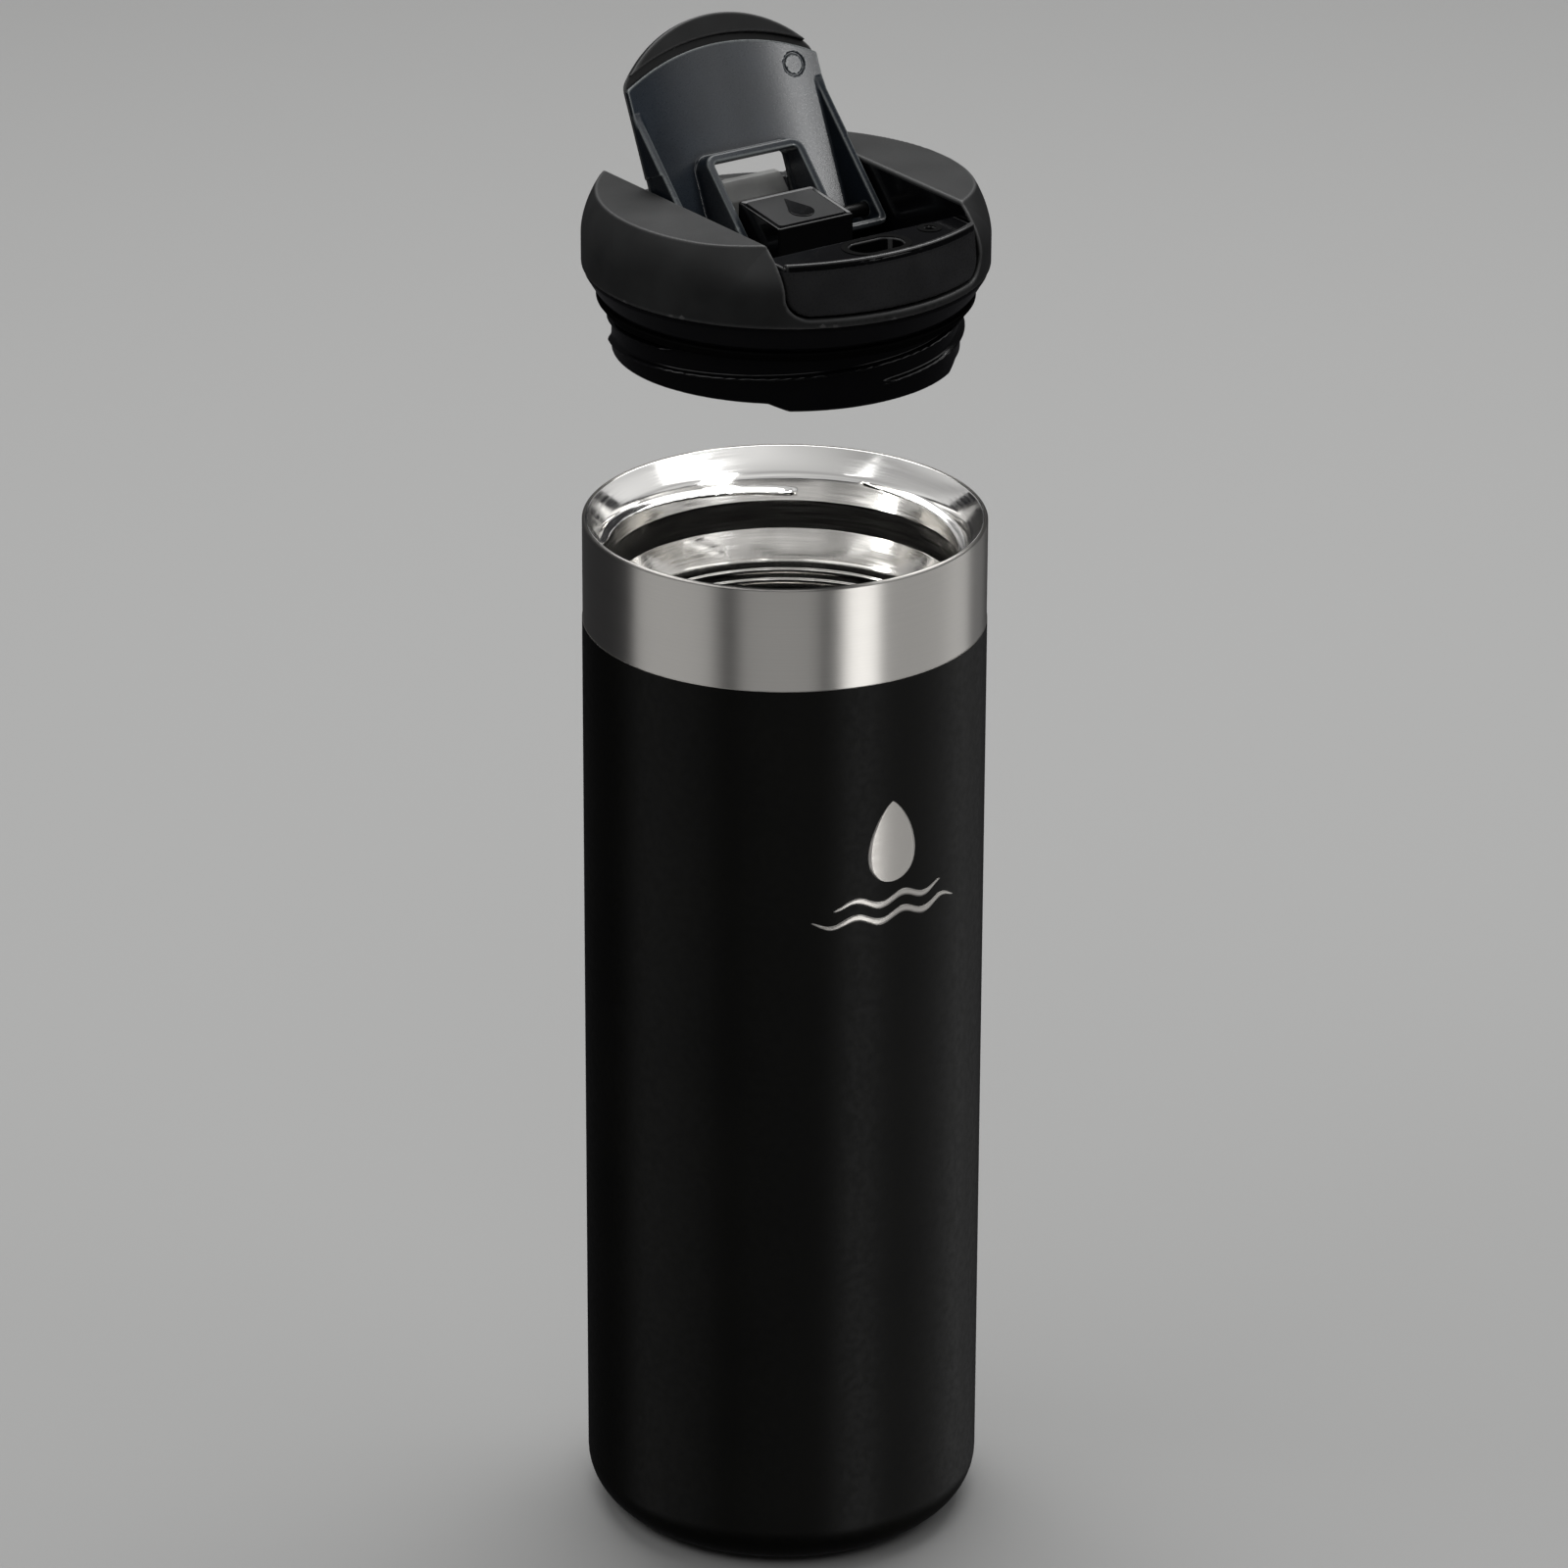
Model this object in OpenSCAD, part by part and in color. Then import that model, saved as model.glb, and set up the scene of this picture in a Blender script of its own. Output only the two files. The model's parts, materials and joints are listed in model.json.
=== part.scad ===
// Insulated travel mug with a screw-in flip lid.
// The origin is at the centre of the base, +Z is up and the drinking side faces -Y.
// The lid is drawn lifted clear of the mouth with its flip cover open.

/* [Mug body] */
// Outer diameter of the mug
body_d = 73; // [65:0.5:90]
// Height from the resting face to the rim
body_h = 196; // [150:1:230]
// Height of the bare steel band under the rim
band_h = 19.3; // [10:0.1:30]
// Radius of the rounded bottom edge
base_round = 8.8; // [4:0.1:12]
// Wall of the outer shell
shell_t = 0.6; // [0.4:0.05:1]
// Wall of the inner liner
liner_t = 0.5; // [0.4:0.05:1]
// Inner radius of the drink space
drink_r = 30.2; // [28:0.1:33]
// Inner radius of the mouth where the lid screws in
mouth_r = 32.5; // [30:0.1:34]
// Thickness of the coloured coating
coat_t = 0.1; // [0.05:0.01:0.3]

/* [Screw thread] */
// Rise of the lid in one turn
thread_lead = 11.1; // [9:0.1:12]
// Number of thread starts
thread_starts = 3; // [1:1:4]
// Turns that lift the lid from closed to the drawn height
lift_turns = 4; // [0:1:6]
// Half height of one thread ridge
ridge_half = 0.45; // [0.3:0.05:0.8]

/* [Lid] */
// Outer radius of the soft collar
collar_r = 36.2; // [33:0.1:40]
// Height of the cheek tops above the lid datum
cheek_h = 15; // [12:0.1:20]
// Half width of the channel between the cheeks
channel_w = 20.7; // [16:0.1:24]
// Height of the closed lid datum above the rim
seat_gap = 2.2; // [1:0.1:4]
// Outer radius of the lid's neck
neck_r = 30.9; // [28:0.1:32]
// Wall of the lid's neck
neck_t = 1.8; // [1.2:0.1:3]

/* [Flip cover] */
// Angle that the flip cover is open
open_angle = 115; // [0:1:115]
// Hinge axis, distance behind the lid's centre
hinge_y = 2.3; // [0:0.1:6]
// Hinge axis, height above the lid datum
hinge_z = 6.8; // [4:0.1:9]
// Half width of the cover
cover_w = 20.3; // [15:0.1:24]
// Underside of the closed cover above the lid datum
cover_z = 12.2; // [11:0.1:14]
// Diameter of a hinge pin
pin_d = 2.5; // [2:0.1:3]

/* [Lock] */
// Distance the lock slider travels
lock_travel = 2; // [1:0.1:3]
// Turns of the lock spring
spring_turns = 6; // [4:1:10]

/* [Hidden] */
$fn = 96;
eps = 0.01;
fit = 0.05;
gap = 0.15;
body_r = body_d / 2;
rim_z = body_h;
coat_top = body_h - band_h;
steel_r = body_r - coat_t;
lip_r = 35.8;
lid_seat = rim_z + seat_gap;
lid_z = lid_seat + thread_lead * lift_turns;
ridge_r = 31.75;
groove_r = 31.25;
flange_z = 1.2;
shelf_z = 12;
shelf_y = -22.4;
floor_z = 1.4;
floor_y = -4.2;
rim_arc = 44;
rim_y = -33.4;
tab_arc = 26.3;
tab_y = -11.3;
gap_front = -11.4;
deck_z = 6;
deck_y = 10.4;
pin_r = pin_d / 2;
foot_r = 22;
cavity_r = neck_r - neck_t;
screw_y = [-6.2, 0.4];
screw_r = 1.25;
block_w = 8;
block_front = -9.2;
block_back = 3.4;
block_low = 11.4;
block_high = 13;
lock_front = 11.4;
lock_back = 19.4;
spring_l = 8;
coat_black = "#141414";
gloss_black = "#1c1c1e";
soft_black = "#3a3a3a";
steel = "silver";

// ---------- shared shapes ----------

// Points of an arc about c, from angle a0 to a1
function arc(c, r, a0, a1, n = 8) =
    [for (i = [0 : n]) c + r * [cos(a0 + (a1 - a0) * i / n), sin(a0 + (a1 - a0) * i / n)]];

// Profile in the YZ plane, extruded evenly to both sides of x = 0
module yz_prism(points, half_w) {
    rotate([90, 0, 90])
        translate([0, 0, -half_w])
            linear_extrude(2 * half_w)
                polygon(points);
}

// The same profile as a pair of walls between two distances from x = 0
module yz_walls(points, x0, x1) {
    for (side = [0, 1])
        mirror([side, 0, 0])
            rotate([90, 0, 90])
                translate([0, 0, x0])
                    linear_extrude(x1 - x0)
                        polygon(points);
}

// Ring between two radii
module ring(r_out, r_in, z0, z1) {
    difference() {
        translate([0, 0, z0])
            cylinder(r = r_out, h = z1 - z0);
        translate([0, 0, z0 - 1])
            cylinder(r = r_in, h = z1 - z0 + 2);
    }
}

// Rounded slot along x
module slot(half_x, half_y, z0, z1) {
    translate([0, 0, z0])
        linear_extrude(z1 - z0) {
            square([2 * (half_x - half_y), 2 * half_y], center = true);
            for (side = [-1, 1])
                translate([side * (half_x - half_y), 0])
                    circle(r = half_y, $fn = 48);
        }
}

// Point of a helical ridge: angle is measured from -Y towards +X
function helix_point(r, z, angle) = [r * sin(angle), -r * cos(angle), z];

// Triangles that join steps + 1 rows of points, each row a closed loop of count points
function band_faces(steps, count) = [
    for (i = [0 : steps - 1]) for (j = [0 : count - 1])
        let (a = count * i + j, b = count * i + (j + 1) % count)
        for (f = [[a, b, b + count], [a, b + count, a + count]]) f];

// Helical ridge of trapezoid section from radius r_root to r_tip, with run-outs at both ends.
// It starts at height z0 and angle a0 and runs through sweep degrees.
module ridge(r_root, r_tip, z0, a0, sweep) {
    steps = ceil(sweep / 6);
    crest = 0.55 * ridge_half;
    sect = [[r_root, -ridge_half], [r_tip, -crest], [r_tip, crest], [r_root, ridge_half]];
    size = function(i) min(1, 0.25 + min(i, steps - i) / 2);
    points = [for (i = [0 : steps]) for (p = sect)
        helix_point(r_root + (p[0] - r_root) * size(i),
                    z0 + thread_lead * i * sweep / steps / 360 + p[1] * size(i),
                    a0 + i * sweep / steps)];
    faces = concat(
        band_faces(steps, len(sect)),
        [[0, 3, 2], [0, 2, 1]],
        [for (f = [[0, 1, 2], [0, 2, 3]]) f + len(sect) * steps * [1, 1, 1]]);
    polyhedron(points, r_tip > r_root ? faces : [for (f = faces) [f[2], f[1], f[0]]]);
}

// ---------- mug body ----------

// Straight steel shell: coated below the band, with a flat foot ring
module outer_shell() {
    inner = body_r - shell_t - coat_t;
    bend = base_round - shell_t;
    corner = [body_r - base_round, base_round];
    color(coat_black)
        rotate_extrude($fn = 128)
            polygon(concat(
                [[foot_r, 0]],
                arc(corner, base_round, -90, 0, 12),
                [[body_r, coat_top], [steel_r, coat_top], [steel_r, rim_z - 0.3],
                 [steel_r - 0.3, rim_z], [inner, rim_z], [inner, base_round]],
                arc(corner, bend, 0, -90, 12),
                [[foot_r, shell_t]]));
}

// Dished disc that closes the vacuum space, with the evacuation port
module outer_base() {
    cup_r = foot_r - fit;
    color(steel)
        difference() {
            union() {
                translate([0, 0, 2.4])
                    cylinder(r = cup_r, h = 0.6);
                ring(cup_r, cup_r - 0.6, 0.1, 2.4);
            }
            cylinder(d = 3, h = 6);
        }
}

// Thin cosmetic disc over the port
module base_cover() {
    color(steel)
        translate([0, 0, 0.5])
            cylinder(r = foot_r - 0.7, h = 0.5);
}

// Glass bead that seals the evacuation port
module port_seal() {
    color("dimgray")
        translate([0, 0, 1.6])
            rotate_extrude($fn = 48)
                polygon([[0, 0], [2.4, 0.2], [2.4, 0.8 - fit], [1.5 - fit, 0.8 - fit],
                         [1.5 - fit, 1.4], [0, 1.4]]);
}

// Drink bottle with the funnel mouth and the rolled thread
module inner_liner() {
    bottom_z = 9;
    neck_z = rim_z - 15;
    shoulder_z = neck_z - 5.5;
    bend = 6;
    corner = [drink_r - bend, bottom_z + bend];
    inside = [[mouth_r, rim_z - 7.4], [mouth_r, rim_z - 4.6], [32.95, rim_z - 3.4],
              [34.2, rim_z - 1.6], [lip_r - 0.5, rim_z - 0.25], [lip_r, rim_z]];
    top_r = body_r - coat_t - shell_t - fit;
    outside = [[top_r, rim_z], [top_r, rim_z - 2.5], [35.0, rim_z - 2.5],
               [mouth_r + 1.1, rim_z - 4.6]];
    thread_z = rim_z - 8;
    thread_sweep = 97;
    thread_end = 119;
    color(steel) {
        rotate_extrude($fn = 128)
            polygon(concat(
                [[0, bottom_z]],
                arc(corner, bend, -90, 0, 8),
                [[drink_r, neck_z - 9], [drink_r + 0.35, shoulder_z], [mouth_r - 0.5, neck_z],
                 [mouth_r - 0.5, rim_z - 10], [31.95, rim_z - 9.4], [mouth_r - 0.3, rim_z - 8.8]],
                inside,
                outside,
                [[mouth_r + liner_t, rim_z - 7.4], [mouth_r + liner_t, neck_z],
                 [drink_r + 0.35 + liner_t, shoulder_z], [drink_r + liner_t, neck_z - 9]],
                arc(corner, bend + liner_t, 0, -90, 8),
                [[0, bottom_z - liner_t]]));
        for (k = [0 : thread_starts - 1])
            ridge(mouth_r + 0.2, groove_r, thread_z, thread_end - thread_sweep + k * 360 / thread_starts,
                  thread_sweep);
    }
}

// Copper foil wrapped around the liner in the vacuum, open along one seam
module heat_foil() {
    foil_r = drink_r + liner_t + 0.2;
    color("chocolate")
        difference() {
            ring(foil_r + 0.15, foil_r, 17, rim_z - 25);
            translate([-1.5, foil_r - 2, 16])
                cube([3, 4, body_h]);
        }
}

// Getter pill that keeps the vacuum, clipped to the outer base
module getter() {
    color("gray")
        translate([11, 0, 3 + eps])
            cylinder(d = 8, h = 2.4, $fn = 48);
}

// ---------- lid ----------

// Places a shape drawn at the lid datum at the drawn height
module in_lid() {
    translate([0, 0, lid_z])
        children();
}

// Swings a closed cover shape open about the hinge
module opened() {
    in_lid()
        translate([0, hinge_y, hinge_z])
            rotate([-open_angle, 0, 0])
                translate([0, -hinge_y, -hinge_z])
                    children();
}

// Cylinder across the lid on the hinge axis, on both sides of x = 0
module hinge_rods(r, x0, x1) {
    for (side = [0, 1])
        mirror([side, 0, 0])
            translate([x0, hinge_y, hinge_z])
                rotate([0, 90, 0])
                    cylinder(r = r, h = x1 - x0, $fn = 48);
}

// Front opening of the collar, seen from the front, with rounded lower corners
module front_notch(half_w, low, corner) {
    rotate([90, 0, 0])
        linear_extrude(50) {
            translate([-half_w, low + corner])
                square([2 * half_w, 30]);
            translate([-half_w + corner, low])
                square([2 * (half_w - corner), 30]);
            for (side = [-1, 1])
                translate([side * (half_w - corner), low + corner])
                    circle(r = corner, $fn = 48);
        }
}

// Curved strip that follows the spout's front edge
module rim_strip(inset, width, half_w, z0, z1) {
    translate([0, 0, z0])
        linear_extrude(z1 - z0)
            intersection() {
                translate([0, rim_y + rim_arc])
                    difference() {
                        circle(r = rim_arc - inset, $fn = 256);
                        circle(r = rim_arc - inset - width, $fn = 256);
                    }
                translate([-half_w, rim_y - 5])
                    square([2 * half_w, 20]);
            }
}

// Silicone ring under the collar that closes the mouth
module lid_gasket() {
    color("#262626")
        in_lid()
            rotate_extrude($fn = 128)
                polygon([[neck_r + fit, -6], [32.6, -5.8], [33.7, -4.05], [33.4, -3.95],
                         [neck_r + fit, -3.95]]);
}

// Curved spout face between the cheeks, narrower in plan at the top
module spout_face() {
    half_w = channel_w - 0.2;
    intersection() {
        hull() {
            translate([0, 0, flange_z + 1.9])
                linear_extrude(eps)
                    intersection() {
                        circle(r = collar_r - 0.2);
                        translate([-half_w, -40])
                            square([2 * half_w, 14]);
                    }
            translate([0, 0, shelf_z - eps])
                linear_extrude(eps)
                    intersection() {
                        translate([0, rim_y + rim_arc])
                            circle(r = rim_arc, $fn = 256);
                        translate([-half_w, -40])
                            square([2 * half_w, 14]);
                    }
        }
        front_notch(half_w, flange_z + 1.9, 3.9);
    }
}

// Neck, thread, sloping drinking well, spout and rear deck in one moulding
module lid_core() {
    well = [[-32, flange_z - 1], [-32, shelf_z], [shelf_y, shelf_z], [floor_y + 1.4, floor_z],
            [deck_y - 1.7, floor_z], [deck_y, deck_z], [33, deck_z], [33, flange_z - 1]];
    under_spout = [[-29.8, -2], [-29.8, 10], [-22.9, 10], [-12.2, 4.2], [-12.2, -2]];
    under_deck = [[13, -2], [14, 4], [28, 4], [28, -2]];
    color(gloss_black)
        in_lid() {
            difference() {
                union() {
                    rotate_extrude($fn = 128)
                        polygon([[0, -14.3], [neck_r - 0.4, -14.3], [neck_r, -13.9], [neck_r, -3.85],
                                 [33, -3.85], [35.7, 0.6], [35.7, flange_z], [0, flange_z]]);
                    intersection() {
                        yz_prism(well, channel_w - 0.2);
                        cylinder(r = collar_r - 3.15, h = 20);
                    }
                    spout_face();
                    rim_strip(0, 0.8, 19.8, shelf_z - 0.1, shelf_z + 0.5);
                    front_lip();
                }
                translate([0, 0, -20])
                    cylinder(r = cavity_r, h = 20 - 0.6);
                yz_prism(under_spout, 16);
                yz_walls(under_deck, 9.5, 17);
                block_seat();
                lock_slot();
                drink_way(5.2, 2.9, 1, -1, 20);
                drink_way(6.65, 4.25, 2.25, shelf_z - 0.6, shelf_z + 0.02);
            }
            for (k = [0 : thread_starts - 1])
                ridge(neck_r - 0.2, ridge_r, -12, k * 360 / thread_starts - 3, 170);
        }
}

// Front part of the neck's edge that reaches lower than the rest
module front_lip() {
    half = 38;
    reach = 50;
    intersection() {
        ring(neck_r, cavity_r, -15.7, -14.2);
        translate([0, 0, -20])
            linear_extrude(20)
                polygon([[0, 0], reach * [-sin(half), -cos(half)], reach * [sin(half), -cos(half)]]);
    }
}

// Drink slot and vent hole, or the grooves of their seals
module drink_way(half_x, half_y, vent_r, z0, z1) {
    translate([0, -27.2, 0])
        slot(half_x, half_y, z0, z1);
    translate([13, -25, z0])
        cylinder(r = vent_r, h = z1 - z0, $fn = 48);
}

// Pocket and screw holes for the hinge block
module block_seat() {
    translate([-block_w - fit, block_front - fit, floor_z])
        cube([2 * (block_w + fit), 8, 20]);
    for (y = screw_y)
        translate([0, y, -3])
            cylinder(r = screw_r + 0.2, h = 6, $fn = 32);
}

// T-shaped guide for the lock slider, with room behind its foot for the spring
module lock_slot() {
    translate([-7.8, 0, 2.4])
        cube([15.6, lock_back + spring_l + 0.2, 2.2]);
    translate([-6.3, 0, 4.5])
        cube([12.6, lock_back + lock_travel + 0.4, 4]);
}

// Disc that closes the lid from below, open where the drink and air pass
module lid_bottom() {
    color(gloss_black)
        in_lid()
            difference() {
                translate([0, 0, -13.6])
                    cylinder(r = cavity_r - fit, h = 1.4);
                translate([0, -21, 0])
                    slot(9, 4, -20, 0);
                translate([13, -18, -20])
                    cylinder(r = 1.5, h = 20, $fn = 48);
            }
}

// Soft collar with two raised cheeks beside the channel
module lid_collar() {
    outline = [[0, flange_z], [collar_r - 0.6, flange_z], [collar_r, flange_z + 0.7],
               [collar_r, 9.3], [collar_r - 0.3, 10.8], [collar_r - 1, 12.2],
               [collar_r - 2.1, 13.5], [collar_r - 3.4, 14.5], [collar_r - 4.9, cheek_h],
               [0, cheek_h]];
    inner_r = collar_r - 3.1;
    rib = 2;
    color(soft_black)
        in_lid()
            difference() {
                rotate_extrude($fn = 128)
                    polygon(outline);
                front_notch(channel_w, flange_z + 1.8, 4);
                translate([-channel_w, 0, deck_z])
                    cube([2 * channel_w, 50, 20]);
                intersection() {
                    cylinder(r = inner_r, h = 20);
                    cube([2 * channel_w, 90, 60], center = true);
                }
                for (side = [0, 1])
                    mirror([side, 0, 0])
                        intersection() {
                            cylinder(r = inner_r, h = cheek_h - 2.2);
                            translate([channel_w + rib, -50, -1])
                                cube([50, 100, 30]);
                        }
                hinge_rods(pin_r + fit, channel_w - 1, channel_w + rib + 1);
            }
}

// Silicone ring round the drink slot with a small ring round the vent
module drink_seal() {
    low = shelf_z - 0.6 + fit;
    color("#202020")
        in_lid()
            difference() {
                drink_way(6.6, 4.2, 2.2, low, shelf_z + 0.12);
                drink_way(5.4, 3.1, 1.1, 0, 20);
            }
}

// Fixed block between the cover's arms that carries the hinge pins
module hinge_block() {
    color(gloss_black)
        in_lid()
            difference() {
                yz_prism([[block_front, floor_z + 0.02], [block_front, block_low],
                          [block_back, block_high], [block_back, floor_z + 0.02]], block_w);
                on_block()
                    translate([-7, 0.9, -0.6])
                        cube([14, 10.9, 3]);
                hinge_rods(pin_r + fit, 4.5, block_w + 1);
                for (y = screw_y)
                    translate([0, y, 0])
                        cylinder(r = screw_r + fit, h = 7, $fn = 32);
            }
}

// Places a shape on the block's sloping top, from its front edge
module on_block() {
    translate([0, block_front, block_low])
        rotate([atan((block_high - block_low) / (block_back - block_front)), 0, 0])
            children();
}

// Inset plate with a plain water-drop mark
module block_badge() {
    drop = concat(arc([0, 4.9], 2.1, -200, 20, 14), [[0, 9.6]]);
    color("#303032")
        in_lid()
            on_block() {
                translate([-6.95, 0.95, -0.58])
                    cube([13.9, 10.8, 0.5]);
                translate([0, 0, -0.1])
                    linear_extrude(0.2)
                        polygon(drop);
            }
}

// Screws that hold the block from inside the lid
module block_screws() {
    color(steel)
        in_lid()
            for (y = screw_y)
                translate([0, y, 0]) {
                    translate([0, 0, -2.2])
                        cylinder(d = 4.6, h = 1.58, $fn = 48);
                    translate([0, 0, -0.7])
                        cylinder(r = screw_r, h = 7, $fn = 48);
                }
}

// Two steel pins from the block through the arms into the cheeks
module hinge_pins() {
    color(steel)
        in_lid()
            hinge_rods(pin_r, 5, channel_w + 1.9);
}

// Plan outline of the closed cover, with the gap for the block
module cover_plan() {
    gap_w = 8.9;
    difference() {
        intersection() {
            union() {
                translate([0, tab_y])
                    circle(r = tab_arc, $fn = 256);
                translate([-cover_w, tab_y])
                    square([2 * cover_w, 4.6 - tab_y]);
            }
            translate([-cover_w, -45])
                square([2 * cover_w, 49.6]);
        }
        translate([-gap_w, gap_front])
            square([2 * gap_w, 30]);
    }
}

// Underside moulding: flat panel, wedge-shaped walls and the frame round the gap
module flip_cover() {
    heel = concat(arc([4.4, 4], 1.6, -90, 0, 6), [[6, 7.5], [4.6, 10.5]]);
    top = cover_z + 0.1;
    frame_front = gap_front - 1.5;
    frame_low = 8.8;
    side_wall = concat([[-22, top], [-22, cover_z]], heel, [[4.6, top]]);
    frame_wall = concat([[frame_front, top], [frame_front, frame_low]], heel, [[4.6, top]]);
    color(gloss_black)
        opened()
            difference() {
                union() {
                    translate([0, 0, cover_z])
                        linear_extrude(1)
                            cover_plan();
                    yz_walls(side_wall, cover_w - 1.7, cover_w);
                    yz_walls(frame_wall, 8.9, 10.3);
                    yz_prism([[frame_front, top], [frame_front, frame_low],
                              [gap_front, frame_low - 0.55], [gap_front, top]], 10.3);
                    yz_walls([[4.5, 2.5], [4.5, 7.2], [3.2, 10], [3.2, top], [4.5, top], [4.5, 10.5],
                              [5.9, 7.5], [5.9, 4.1], [5.4, 2.95]], 10.2, cover_w - 1.6);
                }
                hinge_rods(pin_r + fit, 8, cover_w + 1);
                rim_strip(-0.3, 1.4, 20.6, cover_z - 1, cover_z + 0.7);
            }
}

// Soft outer skin of the cover
module cover_skin() {
    color(soft_black)
        opened()
            translate([0, 0, cover_z + 1])
                linear_extrude(1)
                    cover_plan();
}

// Slider with a sloping thumb ridge behind the block
module lock_slider() {
    color("#a8a8a6")
        in_lid() {
            translate([-7.6, lock_front, 2.55])
                cube([15.2, lock_back - lock_front, 1.85]);
            translate([-6.1, lock_front, 4.3])
                cube([12.2, lock_back - lock_front, 2]);
            yz_prism([[deck_y, deck_z + gap], [deck_y, 10.1], [12, 11.9], [13.6, 12.9], [15, 12.9],
                      [lock_back, 7.6], [lock_back, deck_z + gap]], block_w);
        }
}

// Compression spring behind the slider's foot
module lock_spring() {
    coil_r = 0.8;
    wire_r = 0.18;
    per_turn = 12;
    steps = spring_turns * per_turn;
    rise = (spring_l - 2 * wire_r) / steps;
    points = [for (i = [0 : steps]) for (j = [0 : 5])
        let (turn = 360 * i / per_turn, around = 60 * j, r = coil_r + wire_r * cos(around))
        [r * cos(turn), wire_r * (1 + sin(around)) + rise * i, r * sin(turn)]];
    faces = concat(
        band_faces(steps, 6),
        [for (k = [1 : 4]) [0, k + 1, k]],
        [for (k = [1 : 4]) [0, k, k + 1] + 6 * steps * [1, 1, 1]]);
    color(steel)
        in_lid()
            translate([0, lock_back + fit, 3.5])
                polyhedron(points, faces);
}

outer_shell();
outer_base();
base_cover();
port_seal();
inner_liner();
heat_foil();
getter();
lid_gasket();
lid_core();
lid_bottom();
lid_collar();
drink_seal();
hinge_block();
block_badge();
block_screws();
hinge_pins();
flip_cover();
cover_skin();
lock_slider();
lock_spring();
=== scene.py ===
"""Looks of the insulated travel mug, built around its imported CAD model.

Shapes are worked out in millimetres and turned into metres when a piece is made.
Lid pieces use the lid's own heights: zero is the lid datum, just above the rim of a closed mug.
The flip cover is shaped as it lies closed on the lid, and is then swung open about its hinge.
"""
import json
import math

import bmesh
import bpy
import numpy as np
from mathutils import Matrix, Vector

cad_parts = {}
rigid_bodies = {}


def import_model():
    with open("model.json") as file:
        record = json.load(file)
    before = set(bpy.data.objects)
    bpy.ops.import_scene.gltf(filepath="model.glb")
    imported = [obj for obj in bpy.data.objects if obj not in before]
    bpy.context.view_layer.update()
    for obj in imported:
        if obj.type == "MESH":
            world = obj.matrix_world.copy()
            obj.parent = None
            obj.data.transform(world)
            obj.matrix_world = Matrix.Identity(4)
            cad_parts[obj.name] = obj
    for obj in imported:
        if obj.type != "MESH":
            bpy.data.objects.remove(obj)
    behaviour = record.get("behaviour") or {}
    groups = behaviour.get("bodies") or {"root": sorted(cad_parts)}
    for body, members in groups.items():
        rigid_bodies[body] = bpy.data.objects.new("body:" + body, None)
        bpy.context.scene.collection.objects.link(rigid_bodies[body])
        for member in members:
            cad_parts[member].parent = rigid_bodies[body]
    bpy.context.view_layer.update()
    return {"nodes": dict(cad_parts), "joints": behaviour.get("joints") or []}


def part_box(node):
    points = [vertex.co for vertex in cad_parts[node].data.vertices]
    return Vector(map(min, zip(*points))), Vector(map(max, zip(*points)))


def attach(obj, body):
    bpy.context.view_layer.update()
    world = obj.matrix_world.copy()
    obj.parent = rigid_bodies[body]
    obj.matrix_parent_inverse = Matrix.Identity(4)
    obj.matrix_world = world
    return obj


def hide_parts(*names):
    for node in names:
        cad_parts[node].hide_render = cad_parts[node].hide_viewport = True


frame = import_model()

MM = 0.001
# Grid step of the field meshes, and the facets of a turned piece
GRID = 0.32
SEGMENTS = 256

# ---------- driving sizes in millimetres, from the frame where it has them ----------

# Mug: body, bare band above the coating, sheet steel, rounded foot, mouth and drink space
BODY_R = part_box("outer_shell")[1].x / MM
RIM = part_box("outer_shell")[1].z / MM
BAND_H = 19.3
COAT_T = 0.1
SHELL_T = 0.6
LINER_T = 0.5
FOOT_ROUND = 8.8
BASE_OPENING_R = 22.0
MOUTH_R = 32.5
DRINK_R = 30.2
DRINK_FLOOR = 9.0

# Thread: number of ridges, rise in a full turn, and degrees over which a ridge's end fades
STARTS = 3
LEAD = 11.1
FADE = 7

# Lid collar: cheeks, flange under them, channel between them and the seam round the spout.
# The cheeks' shoulders lean in above SHOULDER_Z, and more towards their front ends.
CHEEK_H = 15.0
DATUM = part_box("lid_collar")[1].z / MM - CHEEK_H
COLLAR_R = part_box("lid_collar")[1].x / MM
FLANGE_Z = 1.2
SHOULDER_Z = 7.0
SHOULDER_IN = 2.6
FRONT_END_IN = 2.2
FRONT_END_Y = -15
FRONT_END_RUN = 9
CHEEK_WALL = 2.8
CHEEK_TOP = 2.2
CHANNEL_WALL = 2
HALF_CHANNEL = 20.7
LEDGE_H = 1.8
SEAM = 0.45

# Lid core: neck, and the levels of the spout's shelf, the rear deck and the well's floor.
# The well slopes down from SLOPE_TOP_Y to SLOPE_FOOT_Y and steps up between the last two places.
NECK_R = 30.9
CAVITY_R = 29.1
SHELF_Z = 12.0
DECK_Z = 6.0
FLOOR_Z = 1.4
SPOUT_BACK = -20
SLOPE_TOP_Y = -22.4
SLOPE_FOOT_Y = -2.8
STEP_FOOT_Y = 8.7
STEP_TOP_Y = 10.4

# Pocket in the rear deck that guides the slider
GUIDE_HALF = 6.3
GUIDE_FLOOR = 3
GUIDE_FRONT = 9
GUIDE_BACK = 21.8

# Spout rim: an arc about a centre behind its foremost point
RIM_ARC = 44.0
RIM_Y = -33.4
LIP_W = 1.0
LIP_H = 0.55

# Drink slot and vent
SLOT_Y = -27.2
SLOT_HALF_X = 5.2
SLOT_HALF_Y = 2.9
VENT = (13, -25)
VENT_R = 1.0

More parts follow.
